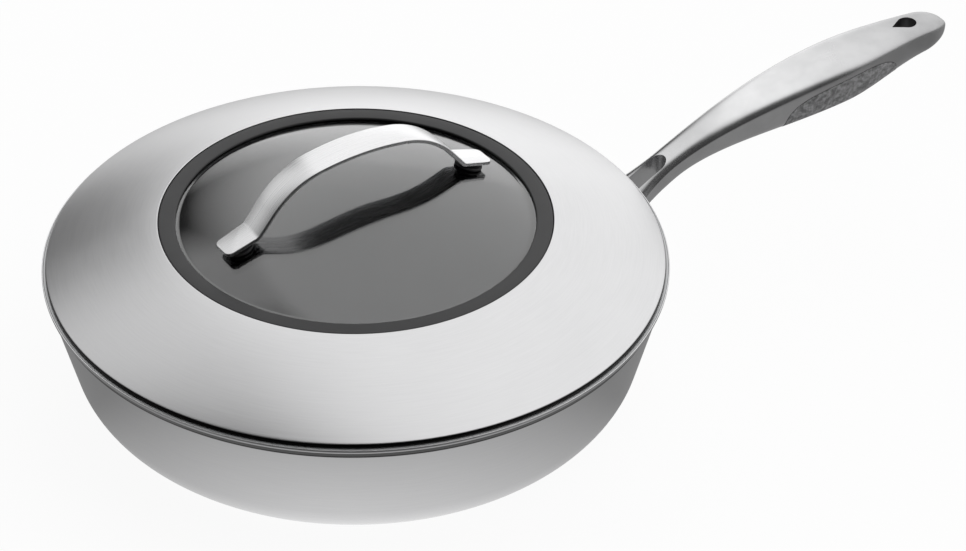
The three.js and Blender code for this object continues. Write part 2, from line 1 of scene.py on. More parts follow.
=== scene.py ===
from math import asin, atan2, cos, hypot, pi, radians, sin, tan

import bmesh
import bpy
from mathutils import Matrix, Vector


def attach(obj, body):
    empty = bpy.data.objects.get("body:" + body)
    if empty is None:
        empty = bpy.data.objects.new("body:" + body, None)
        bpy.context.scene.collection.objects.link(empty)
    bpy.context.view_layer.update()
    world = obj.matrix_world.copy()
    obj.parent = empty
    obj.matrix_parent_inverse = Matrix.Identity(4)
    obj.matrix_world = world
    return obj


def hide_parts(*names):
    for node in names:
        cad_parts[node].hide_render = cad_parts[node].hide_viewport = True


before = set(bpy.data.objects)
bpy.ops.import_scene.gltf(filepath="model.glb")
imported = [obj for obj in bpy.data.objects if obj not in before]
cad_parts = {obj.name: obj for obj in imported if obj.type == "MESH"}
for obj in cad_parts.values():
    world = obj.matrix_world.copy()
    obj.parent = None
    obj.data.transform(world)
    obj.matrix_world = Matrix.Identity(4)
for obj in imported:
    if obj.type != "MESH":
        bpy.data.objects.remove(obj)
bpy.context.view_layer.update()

# Outer skin of the pan: a deep-drawn sheet of stainless steel, the outside of a three-ply wall.
# It is satin brushed round and round on a lathe. Its lip steps out and stands up at the rim.
mm = 0.001
pan_height = 66 * mm
rim_radius = 145 * mm
base_radius = 105 * mm
corner_radius = 29 * mm
lip_height = 4.5 * mm
lip_flare = 1.8 * mm
lip_rise = 3.1 * mm
outer_ply = 0.6 * mm
foot_height = pan_height - lip_height
foot_radius = rim_radius - lip_flare
corner_to_foot = (foot_radius - base_radius, foot_height - corner_radius)
wall_lean = atan2(*corner_to_foot) - asin(corner_radius / hypot(*corner_to_foot))


def wall_radius(height, depth):
    """Radius of the straight wall at a height, at a depth below its outside."""
    return foot_radius - depth / cos(wall_lean) - (foot_height - height) * tan(wall_lean)


def bowl_side(depth):
    """Corners (radius, height, rounding) of the pan's side at a depth below its outside."""
    bend = (corner_radius - depth) * tan((pi / 2 - wall_lean) / 2)
    return [
        (0, depth, 0),
        (wall_radius(depth, depth), depth, bend),
        (foot_radius - depth / cos(wall_lean), foot_height, 0.3 * mm),
        (rim_radius - depth, foot_height + lip_rise, 0.6 * mm),
        (rim_radius - depth, pan_height, 0.2 * mm),
    ]


crisp = radians(35)


def settled(name, mesh, sharp=crisp):
    """Object from a finished bmesh, closed, with its faces outward and smooth up to the sharp angle."""
    bmesh.ops.remove_doubles(mesh, verts=mesh.verts, dist=0.002 * mm)
    bmesh.ops.recalc_face_normals(mesh, faces=mesh.faces)
    for face in mesh.faces:
        face.smooth = True
    data = bpy.data.meshes.new(name)
    mesh.to_mesh(data)
    mesh.free()
    data.set_sharp_from_angle(angle=sharp)
    piece = bpy.data.objects.new(name, data)
    bpy.context.scene.collection.objects.link(piece)
    return piece


def spun(outline, closed=False, steps=192, rounds=6):
    """Bmesh turned about the z axis from (radius, height, rounding) corners."""
    mesh = bmesh.new()
    corners = [mesh.verts.new((radius, 0, height)) for radius, height, rounding in outline]
    for start, end in zip(corners, corners[1:] + corners[:closed]):
        mesh.edges.new((start, end))
    for corner, (radius, height, rounding) in zip(corners, outline):
        if rounding:
            bmesh.ops.bevel(
                mesh, geom=[corner], offset=rounding, offset_type="OFFSET", affect="VERTICES",
                segments=max(rounds, int(rounding / mm)), profile=0.5, material=-1,
            )
    bmesh.ops.spin(
        mesh, geom=mesh.verts[:] + mesh.edges[:], cent=(0, 0, 0), axis=(0, 0, 1), angle=2 * pi,
        steps=steps, use_merge=True,
    )
    return mesh


def wired(tree, kind, sockets=None, **settings):
    """Shader node of a kind, with its sockets set to values or linked to other nodes' outputs."""
    made = tree.nodes.new(kind)
    for key, value in settings.items():
        setattr(made, key, value)
    for key, value in (sockets or {}).items():
        if isinstance(value, bpy.types.NodeSocket):
            tree.links.new(value, made.inputs[key])
        else:
            made.inputs[key].default_value = value
    return made


def math(tree, operation, first, second=0.0):
    """Sum, product or the like of two values."""
    return wired(tree, "ShaderNodeMath", {0: first, 1: second}, operation=operation).outputs[0]


def noise(tree, place, scale, detail=2.0):
    """Soft random pattern over a place, with so many waves to the metre."""
    settings = {"Vector": place, "Scale": scale, "Detail": detail}
    return wired(tree, "ShaderNodeTexNoise", settings).outputs[0]


def between(tree, value, low, high, start=0.0, stop=1.0):
    """The value's run from start to stop as a run from low to high."""
    settings = {"Value": value, "From Min": start, "From Max": stop, "To Min": low, "To Max": high}
    return wired(tree, "ShaderNodeMapRange", settings).outputs[0]


def blended(tree, factor, first, second):
    """Colour between two, by a factor."""
    made = wired(tree, "ShaderNodeMix", {0: factor}, data_type="RGBA")
    made.inputs[6].default_value = (*first, 1)
    made.inputs[7].default_value = (*second, 1)
    return made.outputs[2]


def group(name, inputs, outputs):
    """New shader node group: its tree, what is given to it and what results."""
    tree = bpy.data.node_groups.new(name, "ShaderNodeTree")
    for socket, kind in inputs.items():
        tree.interface.new_socket(socket, in_out="INPUT", socket_type=kind)
    for socket in outputs:
        tree.interface.new_socket(socket, in_out="OUTPUT", socket_type="NodeSocketFloat")
    return tree, tree.nodes.new("NodeGroupInput").outputs, tree.nodes.new("NodeGroupOutput").inputs


def shader(name):
    """New material: its node tree, its shader and the place on the piece."""
    material = bpy.data.materials.new(name)
    material.use_nodes = True
    tree = material.node_tree
    place = wired(tree, "ShaderNodeTexCoord").outputs["Object"]
    return material, tree, tree.nodes["Principled BSDF"], place


def pressed_in(tree, surface, height, strength, depth):
    """Relief of a height pattern on the surface."""
    settings = {"Strength": strength, "Distance": depth, "Height": height}
    tree.links.new(wired(tree, "ShaderNodeBump", settings).outputs[0], surface.inputs["Normal"])


def dressed(piece, material, slot, body, *nodes):
    """The piece gets its finish, stands for its nodes and rides on its body."""
    piece.data.materials.clear()
    piece.data.materials.append(material)
    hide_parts(*nodes)
    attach(piece, body)


# fine broken lines that run round the axis, as a lathe leaves them, and broad patches of uneven polish
turned_grain, given, result = group(
    "turned_grain", {"Place": "NodeSocketVector", "Lines": "NodeSocketFloat"}, ["Grain", "Patches"])
split = wired(turned_grain, "ShaderNodeSeparateXYZ", {0: given["Place"]}).outputs
flat = wired(turned_grain, "ShaderNodeCombineXYZ", {0: split[0], 1: split[1]}).outputs[0]
radius = wired(turned_grain, "ShaderNodeVectorMath", {0: flat}, operation="LENGTH").outputs["Value"]
heading = math(turned_grain, "ARCTAN2", split[1], split[0])
across = wired(turned_grain, "ShaderNodeCombineXYZ", {
    0: math(turned_grain, "MULTIPLY", radius, given["Lines"]),
    1: math(turned_grain, "MULTIPLY", split[2], given["Lines"]),
    2: math(turned_grain, "MULTIPLY", heading, 7.0),
}).outputs[0]
turned_grain.links.new(noise(turned_grain, across, 1.0, 3.0), result["Grain"])
turned_grain.links.new(noise(turned_grain, given["Place"], 28.0), result["Patches"])


def turned_steel(name, dark, pale, smooth, rough, lines=1600.0, depth=0.02):
    """Stainless steel with a lathe's grain: its two shades, its range of roughness and its grain."""
    material, tree, surface, place = shader(name)
    grain = wired(tree, "ShaderNodeGroup", node_tree=turned_grain)
    tree.links.new(place, grain.inputs["Place"])
    grain.inputs["Lines"].default_value = lines
    fine, patches = grain.outputs["Grain"], grain.outputs["Patches"]
    uneven = math(tree, "ADD", math(tree, "MULTIPLY", fine, 0.6), math(tree, "MULTIPLY", patches, 0.4))
    surface.inputs["Metallic"].default_value = 1
    tree.links.new(blended(tree, uneven, dark, pale), surface.inputs["Base Color"])
    tree.links.new(between(tree, uneven, smooth, rough), surface.inputs["Roughness"])
    pressed_in(tree, surface, fine, 0.35, depth * mm)
    return material


def steel_with_shade_line(name, level):
    """Satin steel with a dark line of painted shade round it at a height."""
    material = turned_steel(name, (0.50, 0.50, 0.505), (0.61, 0.61, 0.615), 0.28, 0.4)
    tree = material.node_tree
    tone = tree.nodes["Principled BSDF"].inputs["Base Color"]
    place = wired(tree, "ShaderNodeTexCoord").outputs["Object"]
    height = wired(tree, "ShaderNodeSeparateXYZ", {0: place}).outputs[2]
    darkest, half_line, half_fade = 0.02, 1.6 * mm, 2 * mm
    from_line = math(tree, "ABSOLUTE", math(tree, "SUBTRACT", height, level))
    unshaded_share = between(tree, from_line, darkest, 1.0, half_line, half_fade)
    painted_shade = wired(tree, "ShaderNodeVectorMath", {0: tone.links[0].from_socket, 3: unshaded_share}, operation="SCALE")
    tree.links.new(painted_shade.outputs[0], tone)
    return material


# painted shade: a dark line runs round the skin in the crease under the lip's step
crease_height = foot_height + 0.35 * lip_rise
outer_skin = settled("outer_skin", spun(bowl_side(0) + bowl_side(outer_ply)[::-1]))
dressed(outer_skin, steel_with_shade_line("skin_steel", crease_height), "satin_steel", "pan", "outer_skin")

# Core of the wall: aluminium that spreads the heat, rolled between the two steel sheets.
# Only its edge shows, as a dull ring in the cut rim when the lid is off.
bond_line = 0.05 * mm
core_ply = 2.4 * mm
core_outside = outer_ply + bond_line
core_inside = core_outside + core_ply
bare_aluminium = turned_steel("bare_aluminium", (0.36, 0.365, 0.37), (0.50, 0.505, 0.51), 0.4, 0.55)
core = settled("aluminium_core", spun(bowl_side(core_outside) + bowl_side(core_inside)[::-1]))
dressed(core, bare_aluminium, "aluminium", "pan", "aluminium_core")

# Inner liner: the steel sheet that the food meets, under a baked-on dark non-stick coat.
# The coat is faintly speckled, over the turning marks of the sheet.
inner_ply = 0.5 * mm
liner_outside = core_inside + bond_line
wall = liner_outside + inner_ply
coat, tree, surface, place = shader("nonstick_coat")
speckle = wired(tree, "ShaderNodeTexVoronoi", {"Vector": place, "Scale": 900.0}).outputs["Distance"]
fleck = between(tree, speckle, 1.0, 0.0, 0.12, 0.3)
marks = wired(tree, "ShaderNodeGroup", node_tree=turned_grain)
tree.links.new(place, marks.inputs["Place"])
marks.inputs["Lines"].default_value = 700.0
patches = marks.outputs["Patches"]
shade = math(tree, "ADD", math(tree, "MULTIPLY", fleck, 0.45), math(tree, "MULTIPLY", patches, 0.4))
tree.links.new(blended(tree, shade, (0.014, 0.014, 0.015), (0.05, 0.05, 0.052)), surface.inputs["Base Color"])
tree.links.new(between(tree, patches, 0.36, 0.5), surface.inputs["Roughness"])
pressed_in(tree, surface, marks.outputs["Grain"], 0.3, 0.03 * mm)
liner = settled("inner_liner", spun(bowl_side(liner_outside) + bowl_side(wall)[::-1]))
dressed(liner, coat, "nonstick", "pan", "inner_liner")

# Handle rivets: three solid steel rivets, set square to the wall through the handle's plate.
# Each has a low domed head on the food side and a smaller peened one on the plate.
fit = 0.3 * mm
plate_thickness = 3.5 * mm
rivet_radius = 3 * mm
head_radius, head_height = 5.5 * mm, 1.9 * mm
tail_radius, tail_height = 4.6 * mm, 1.4 * mm
rivet_spread = radians(9)
rivet_clearance = 3.7 * mm
upper_rivet = 46 * mm
lower_rivet = corner_radius * (1 - sin(wall_lean)) + head_radius + rivet_clearance
rivet_seats = {
    "handle_rivet_left": (rivet_spread, upper_rivet),
    "handle_rivet_right": (-rivet_spread, upper_rivet),
    "handle_rivet_lower": (0, lower_rivet),
}
peened_steel = turned_steel("peened_steel", (0.55, 0.55, 0.56), (0.66, 0.66, 0.67), 0.22, 0.36, 2600.0, 0.01)
plate_top = fit + plate_thickness
for name, (heading, height) in rivet_seats.items():
    mesh = spun([
        (0, -wall - head_height, 0),
        (0.62 * head_radius, -wall - head_height, 0.3 * head_radius),
        (head_radius, -wall - 0.3 * mm, 0.2 * mm),
        (head_radius - 0.2 * mm, -wall, 0),
        (rivet_radius, -wall, 0),
        (rivet_radius, plate_top, 0),
        (tail_radius - 0.2 * mm, plate_top, 0),
        (tail_radius, plate_top + 0.3 * mm, 0.2 * mm),
        (0.6 * tail_radius, plate_top + tail_height, 0.3 * tail_radius),
        (0, plate_top + tail_height, 0),
    ], steps=40)
    seat = Matrix.Rotation(heading, 4, "Z") @ Matrix.Translation((wall_radius(height, 0), 0, height))
    square_to_wall = Matrix.Rotation(pi / 2 + wall_lean, 4, "Y")
    bmesh.ops.transform(mesh, matrix=seat @ square_to_wall, verts=mesh.verts)
    dressed(settled(name, mesh), peened_steel, "satin_steel", "pan", name)

# Pan handle: one stainless casting, satin finished, that rises from the wall, widens to the grip and
# ends in a rounded tip. Its root is a fork on a curved plate, and a teardrop hole near the tip hangs it.
handle_reach = 187.3 * mm
tip_rise = 34.7 * mm
neck_place, grip_place, tip_place = 0.3, 0.77, 0.95
half_widths = [(0, 13.5 * mm), (neck_place, 7.9 * mm), (grip_place, 15 * mm), (1, 9.1 * mm)]
depths = [(0, 9 * mm), (neck_place, 12.2 * mm), (grip_place, 27 * mm), (1, 16 * mm)]
shoulder_share = 0.4
top_power, belly_power = 0.55, 0.8
section_points = 64
top_line = [
    Vector((rim_radius - 8 * mm, 0, pan_height - 20 * mm)),
    Vector((rim_radius + 0.066 * handle_reach, 0, pan_height - 0.078 * tip_rise)),
    Vector((rim_radius + 0.431 * handle_reach, 0, pan_height + 1.157 * tip_rise)),
    Vector((rim_radius + handle_reach, 0, pan_height + tip_rise)),
]


def eased(t, stops):
    """Size at a place on the handle, eased from each stop to the next."""
    for (start, low), (end, high) in zip(stops, stops[1:]):
        if t <= end:
            way = (t - start) / (end - start)
            return low + (high - low) * way * way * (3 - 2 * way)
    return stops[-1][1]


def along_top(t):
    """Point on the handle's top line, and the direction square to it that points down."""
    a, b, c, d = top_line
    s = 1 - t
    point = s * s * s * a + 3 * s * s * t * b + 3 * s * t * t * c + t * t * t * d
    ahead = s * s * (b - a) + 2 * s * t * (c - b) + t * t * (d - c)
    return point, Vector((ahead.z, 0, -ahead.x)).normalized()


def softened(value, power):
    """A sine or cosine bent to a squarer or fuller curve."""
    return (1 if value > 0 else -1) * abs(value) ** power


def handle_point(t, angle, shrink, inset):
    """Point on the oval section at a place on the handle, shrunk towards the tip's end and inset."""
    depth = eased(t, depths)
    shoulder = shoulder_share * depth
    power = belly_power if sin(angle) > 0 else top_power
    drop = softened(sin(angle), power)
    point, down = along_top(t)
    reach = depth - shoulder if drop > 0 else shoulder
    sideways = (shrink * eased(t, half_widths) - inset) * softened(cos(angle), power)
    return point + down * (shoulder + drop * (shrink * reach - inset)) + Vector((0, sideways, 0))


def verts_of(grown):
    """The vertices among what an operator has made."""
    return [part for part in grown if isinstance(part, bmesh.types.BMVert)]


def handle_loft(stations, inset=0):
    """Closed bmesh over oval sections, each ring extruded from the last: stations are (t, shrink)."""
    mesh = bmesh.new()
    heading = mesh.verts.layers.float.new("heading")
    ring = bmesh.ops.create_circle(mesh, segments=section_points, radius=1, cap_ends=True)["verts"]
    for vert in ring:
        vert[heading] = atan2(vert.co.y, vert.co.x)
    loop = mesh.edges[:]
    for step, (t, shrink) in enumerate(stations):
        if step:
            grown = bmesh.ops.extrude_edge_only(mesh, edges=loop)["geom"]
            ring = verts_of(grown)
            loop = [part for part in grown if isinstance(part, bmesh.types.BMEdge)
                    and part.verts[0] in ring and part.verts[1] in ring]
        for vert in ring:
            vert.co = handle_point(t, vert[heading], shrink, inset)
    bmesh.ops.contextual_create(mesh, geom=loop)
    return mesh


def applied(piece):
    """The piece with its modifiers worked into its mesh."""
    bpy.context.view_layer.update()
    data = bpy.data.meshes.new_from_object(piece.evaluated_get(bpy.context.evaluated_depsgraph_get()))
    piece.modifiers.clear()
    piece.data = data
    return piece


def shaped(piece, tool, operation):
    """The piece after a cut, join or overlap with a tool, which is used up."""
    step = piece.modifiers.new("shaped", "BOOLEAN")
    step.operation = operation
    step.solver = "EXACT"
    step.object = tool
    applied(piece)
    bpy.data.objects.remove(tool)
    least_edge = 0.0005 * mm
    mesh = bmesh.new()
    mesh.from_mesh(piece.data)
    bmesh.ops.dissolve_degenerate(mesh, dist=least_edge, edges=mesh.edges)
    mesh.to_mesh(piece.data)
    mesh.free()
    return piece


def pan_plug(grow):
    """The pan as a solid, grown outward by a little, to cut pieces to the wall."""
    return settled("plug", spun(bowl_side(-grow) + [(0, pan_height, 0)], steps=240))


def upright(mesh, height):
    """A flat outline carried up to a tall prism."""
    grown = bmesh.ops.extrude_face_region(mesh, geom=mesh.faces[:])["geom"]
    bmesh.ops.translate(mesh, vec=(0, 0, height), verts=verts_of(grown))
    return settled("tool", mesh)


def fork_slot():
    """Prism between the prongs of the fork: round at its end, and run in past the wall."""
    half, end, run = 5 * mm, 24 * mm, 40 * mm
    mesh = bmesh.new()
    bmesh.ops.create_circle(mesh, segments=48, radius=half, cap_ends=True)
    near = [vert for vert in mesh.verts if vert.co.x < -0.01 * mm]
    bmesh.ops.translate(mesh, vec=(-run, 0, 0), verts=near)
    bmesh.ops.translate(mesh, vec=(rim_radius + end - half, 0, 0), verts=mesh.verts)
    return upright(mesh, 2 * pan_height)


def hang_hole():
    """Teardrop prism: round towards the tip, with straight sides to a point towards the pan."""
    round_end, point, from_tip = 4.7 * mm, 9 * mm, 23 * mm
    touch = -round_end * round_end / point
    width = (round_end * round_end - touch * touch) ** 0.5
    mesh = bmesh.new()
    bmesh.ops.create_circle(mesh, segments=64, radius=round_end, cap_ends=True)
    for vert in mesh.verts:
        if vert.co.x < touch:
            vert.co.x = -point + (point + touch) * abs(vert.co.y) / width
    bmesh.ops.translate(mesh, vec=(rim_radius + handle_reach - from_tip, 0, 0), verts=mesh.verts)
    return upright(mesh, 2 * pan_height)


def wall_plate():
    """Block with a rounded corner about each rivet, to be cut to a plate on the wall."""
    corner, block = 7 * mm, 40 * mm
    mesh = bmesh.new()
    side = rim_radius * sin(rivet_spread)
    for across, height in [(side, upper_rivet), (-side, upper_rivet), (0, lower_rivet)]:
        lie = Matrix.Translation((rim_radius, across, height)) @ Matrix.Rotation(pi / 2, 4, "Y")
        bmesh.ops.create_circle(mesh, segments=48, radius=corner, cap_ends=False, matrix=lie)
    bmesh.ops.convex_hull(mesh, input=mesh.verts[:])
    bmesh.ops.dissolve_limit(mesh, angle_limit=radians(1), verts=mesh.verts[:], edges=mesh.edges[:])
    inner = verts_of(bmesh.ops.extrude_face_region(mesh, geom=mesh.faces[:])["geom"])
    bmesh.ops.translate(mesh, vec=(-block, 0, 0), verts=inner)
    bmesh.ops.translate(mesh, vec=(block / 2, 0, 0), verts=mesh.verts)
    return settled("plate", mesh)


wall_gap = 0.05 * mm
insert_from, insert_to, insert_rise = 0.61, 0.885, 16 * mm
leaf_power = 0.6
insert_thickness = 2.5 * mm


def belly_leaf(clearance):
    """Prism below an arch, as seen from the side, that bounds the grip insert."""
    reach, below = 30 * mm, 27 * mm
    ends = []
    for t in (insert_from, insert_to):
        point, down = along_top(t)
        ends.append(point + down * eased(t, depths) + Vector((0, 0, clearance)))
    start, end = ends
    middle, half = (start + end) / 2, (end - start) / 2
    up = Vector((-half.z, 0, half.x)).normalized() * insert_rise
    mesh = bmesh.new()
    bmesh.ops.create_circle(mesh, segments=96, radius=1, cap_ends=True)
    for vert in mesh.verts:
        place = middle + softened(vert.co.x, leaf_power) * half
        if vert.co.y > -0.001:
            place += softened(max(vert.co.y, 0), leaf_power) * up
        else:
            place.z = start.z - below
        vert.co = place - Vector((0, reach, 0))
    far = verts_of(bmesh.ops.extrude_face_region(mesh, geom=mesh.faces[:])["geom"])
    bmesh.ops.translate(mesh, vec=(0, 2 * reach, 0), verts=far)
    return settled("leaf", mesh)


def handle_core(inset):
    """What is left of the handle below its surface, under the grip insert."""
    steps = [(neck_place + (tip_place - neck_place) * i / 40, 1) for i in range(41)]
    return settled("core", handle_loft(steps, inset))


grip_rings, tip_rings = 110, 15
handle_steps = [(tip_place * i / grip_rings, 1) for i in range(grip_rings + 1)]
for i in range(1, tip_rings + 1):
    rounding = pi / 2 * i / (tip_rings + 1.5)
    handle_steps.append((tip_place + (1 - tip_place) * sin(rounding), cos(rounding)))
pan_handle = settled("pan_handle", handle_loft(handle_steps))
pocket = shaped(belly_leaf(fit), handle_core(insert_thickness + fit), "DIFFERENCE")
shaped(pan_handle, pocket, "DIFFERENCE")
shaped(pan_handle, fork_slot(), "DIFFERENCE")
shaped(pan_handle, hang_hole(), "DIFFERENCE")
shaped(pan_handle, shaped(wall_plate(), pan_plug(plate_top), "INTERSECT"), "UNION")
shaped(pan_handle, pan_plug(wall_gap), "DIFFERENCE")
pan_handle.data.set_sharp_from_angle(angle=crisp)

# fine even frosting that a casting keeps from its blasting, and slow waves of its hand polish
blasted, given, result = group("blasted_frost", {"Place": "NodeSocketVector"}, ["Frost", "Waves"])
blasted.links.new(noise(blasted, given["Place"], 2400.0, 2.0), result["Frost"])
blasted.links.new(noise(blasted, given["Place"], 60.0, 3.0), result["Waves"])
cast_steel, tree, surface, place = shader("cast_steel")
frost = wired(tree, "ShaderNodeGroup", node_tree=blasted)
tree.links.new(place, frost.inputs["Place"])
waves = frost.outputs["Waves"]
surface.inputs["Metallic"].default_value = 1
# the steel is darker and rougher towards the handle's tip
outward = wired(tree, "ShaderNodeSeparateXYZ", {0: place}).outputs[0]
toward_tip = between(tree, outward, 0.0, 1.0, rim_radius + 0.4 * handle_reach, rim_radius + handle_reach)
bright = math(tree, "SUBTRACT", between(tree, waves, 0.2, 0.8), math(tree, "MULTIPLY", toward_tip, 0.75))
shade = between(tree, bright, 0.0, 1.0, -0.6, 0.8)
tree.links.new(blended(tree, shade, (0.2, 0.2, 0.203), (0.72, 0.72, 0.725)), surface.inputs["Base Color"])
duller = math(tree, "ADD", between(tree, waves, 0.16, 0.26), math(tree, "MULTIPLY", toward_tip, 0.16))
tree.links.new(duller, surface.inputs["Roughness"])
pressed_in(tree, surface, frost.outputs["Frost"], 0.25, 0.02 * mm)
dressed(pan_handle, cast_steel, "satin_steel", "pan", "pan_handle")

# Grip insert: a soft grey rubber pad wrapped round the belly of the handle, bonded in a shallow pocket.
# It stands a little proud of the steel and is moulded all over with small round dimples.
insert_proud = 0.15 * mm
grip_insert = settled("grip_insert", handle_loft(handle_steps, -insert_proud))
shaped(grip_insert, belly_leaf(0), "INTERSECT")
shaped(grip_insert, handle_core(insert_thickness), "DIFFERENCE")
grip_insert.data.set_sharp_from_angle(angle=crisp)
rubber, tree, surface, place = shader("grip_rubber")
dimple = wired(tree, "ShaderNodeTexVoronoi", {"Vector": place, "Scale": 620.0, "Randomness": 0.25}).outputs[0]
# painted shade: the rubber is darker towards the middle of each dimple, where its hollow is deepest; the
# scuff is the rubber's own uneven tone
pit_and_shade = between(tree, dimple, 0.0, 1.0, 0.15, 0.5)
scuff = noise(tree, place, 450.0, 3.0)
shade = math(tree, "MULTIPLY", between(tree, pit_and_shade, 0.6, 1.0), between(tree, scuff, 0.0, 1.0, 0.35, 0.65))
tree.links.new(blended(tree, shade, (0.12, 0.12, 0.122), (0.30, 0.30, 0.305)), surface.inputs["Base Color"])
tree.links.new(between(tree, scuff, 0.5, 0.72), surface.inputs["Roughness"])
pressed_in(tree, surface, pit_and_shade, 0.5, 0.15 * mm)
dressed(grip_insert, rubber, "grip_rubber", "pan", "grip_insert")

# Lid ring: one pressed sheet of the same satin steel, from a sunk ledge that holds the window seal,
# out in a low crown, over a rolled edge that rests on the pan's lip, and down inside the mouth.
lid_sheet = 1 * mm
lid_seat = pan_height + fit
lid_radius = rim_radius - 1.7 * mm
lid_top = pan_height + 22.6 * mm
window_radius = 91 * mm
ledge_top = lid_top - 1.4 * mm
ledge_radius = window_radius - 2.7 * mm
skirt_radius = rim_radius - lip_flare - wall - 2.5 * mm
skirt_bottom = lid_seat - 5 * mm
crown_radius, crown_height, crown_bend = 117.95 * mm, 81.29 * mm, 27.1 * mm
edge_height = 68.07 * mm
lid_ring = settled("lid_ring", spun([
    (skirt_radius - lid_sheet, skirt_bottom, 0.2 * mm),
    (skirt_radius, skirt_bottom, 0.2 * mm),
    (skirt_radius, lid_seat, 0.5 * mm),
    (lid_radius, lid_seat, 0.35 * mm),
    (lid_radius, edge_height, 0.66 * mm),
    (crown_radius, crown_height, crown_bend),
    (window_radius, lid_top, 0.25 * mm),
    (window_radius, ledge_top, 0.4 * mm),
    (ledge_radius, ledge_top, 0.2 * mm),
    (ledge_radius, ledge_top - lid_sheet, 0.2 * mm),
    (window_radius + lid_sheet, ledge_top - lid_sheet, 0.4 * mm),
    (window_radius + lid_sheet, lid_top - 1.3 * lid_sheet, 0.4 * mm),
    (crown_radius, crown_height - lid_sheet, crown_bend - 1.5 * mm),
    (lid_radius - lid_sheet, edge_height - 0.61 * lid_sheet, 0.05 * mm),
    (lid_radius - lid_sheet, lid_seat + lid_sheet, 0.05 * mm),
    (skirt_radius - lid_sheet, lid_seat + lid_sheet, 0.4 * mm),
], closed=True))
# painted shade: a dark line runs round the lid's rolled edge, down where it rests on the pan
edge_shadow = edge_height - 1.7 * mm
dressed(lid_ring, steel_with_shade_line("lid_steel", edge_shadow), "satin_steel", "lid", "lid_ring")

# Window seal: a moulded ring of black silicone with a groove outside for the ledge of the lid
# and a groove inside for the glass. Its flat top flange shows as a dark band with a soft sheen.
seal_fit = 0.2 * mm
seal_sheet = 1 * mm
glass_top = ledge_top
glass_thickness = 4 * mm
glass_bottom = glass_top - glass_thickness
web_outside = ledge_radius - seal_fit
web_inside = web_outside - 2.3 * mm
glass_radius = web_inside - seal_fit
seal_inside = glass_radius - 2.8 * mm
seal_outside = window_radius - seal_fit
flange_bottom = glass_top + seal_fit
seal_top = flange_bottom + seal_sheet
fin_top = ledge_top - lid_sheet - seal_fit
lip_top = glass_bottom - seal_fit
glass_seal = settled("glass_seal", spun([
    (seal_inside, flange_bottom, 0.1 * mm),
    (web_inside, flange_bottom, 0),
    (web_inside, lip_top, 0),
    (seal_inside, lip_top, 0.2 * mm),
    (seal_inside, lip_top - seal_sheet, 0.4 * mm),
    (web_outside, lip_top - seal_sheet, 0.4 * mm),
    (web_outside, fin_top - seal_sheet, 0),
    (seal_outside, fin_top - seal_sheet, 0.3 * mm),
    (seal_outside, fin_top, 0.3 * mm),
    (web_outside, fin_top, 0),
    (web_outside, flange_bottom, 0),
    (seal_outside, flange_bottom, 0.15 * mm),
    (seal_outside, seal_top, 0.8 * mm),
    (seal_inside, seal_top, 0.7 * mm),
], closed=True))
silicone, tree, surface, place = shader("black_silicone")
bloom = noise(tree, place, 90.0, 4.0)
black = blended(tree, bloom, (0.012, 0.012, 0.013), (0.024, 0.024, 0.025))
tree.links.new(black, surface.inputs["Base Color"])
tree.links.new(between(tree, bloom, 0.42, 0.58), surface.inputs["Roughness"])
surface.inputs["Specular IOR Level"].default_value = 0.4
pressed_in(tree, surface, noise(tree, place, 1500.0), 0.2, 0.03 * mm)
dressed(glass_seal, silicone, "silicone", "lid", "glass_seal")

# Window: a dome of toughened glass, pressed with a flat rim that the seal holds, and drilled under each
# end of the handle. It is tinted and glossy, and mirrors the room over the dark inside of the pan.
flat_rim = 4 * mm
drill_radius = 4 * mm
dome_rise = 16.5 * mm
dome_radius = ((glass_radius - flat_rim) ** 2 + dome_rise ** 2) / (2 * dome_rise)
dome_middle = glass_top + dome_rise - dome_radius


def dome_side(level, radius):
    """Corners of one face of the glass: its middle, the bend of its dome and the foot of the dome."""
    foot = (radius ** 2 - (level - dome_middle) ** 2) ** 0.5
    bend = radius * tan(asin(foot / radius) / 2)
    return [(0, dome_middle + radius, 0), (bend, dome_middle + radius, 0.995 * bend), (foot, level, 0.9 * mm)]


pad_x = 61.5 * mm
pad_tilt = asin(pad_x / dome_radius)
pad_level = dome_middle + dome_radius * cos(pad_tilt)
lid_turn = radians(3.5)


def at_pad(way):
    """From an upright axis to the axis of a pad of the handle, which stands square to the glass."""
    stand = Matrix.Translation((way * pad_x, 0, pad_level)) @ Matrix.Rotation(way * pad_tilt, 4, "Y")
    return Matrix.Rotation(lid_turn, 4, "Z") @ stand


lid_glass = settled("lid_glass", spun([
    *dome_side(glass_bottom, dome_radius - glass_thickness),
    (glass_radius, glass_bottom, 0.6 * mm),
    (glass_radius, glass_top, 0.6 * mm),
    *dome_side(glass_top, dome_radius)[::-1],
]))
for way in (-1, 1):
    mesh = bmesh.new()
    bmesh.ops.create_circle(mesh, segments=40, radius=drill_radius, cap_ends=True)
    bmesh.ops.translate(mesh, vec=(0, 0, -2 * glass_thickness), verts=mesh.verts)
    drill = upright(mesh, 3 * glass_thickness)
    drill.data.transform(at_pad(way))
    shaped(lid_glass, drill, "DIFFERENCE")
lid_glass.data.set_sharp_from_angle(angle=crisp)
glass, tree, surface, place = shader("smoked_glass")
haze = noise(tree, place, 45.0, 3.0)
tree.links.new(blended(tree, haze, (0.15, 0.155, 0.16), (0.20, 0.205, 0.21)), surface.inputs["Base Color"])
tree.links.new(between(tree, haze, 0.06, 0.1), surface.inputs["Roughness"])
surface.inputs["Transmission Weight"].default_value = 1
surface.inputs["IOR"].default_value = 2.0
dressed(lid_glass, glass, "smoked_glass", "lid", "lid_glass")

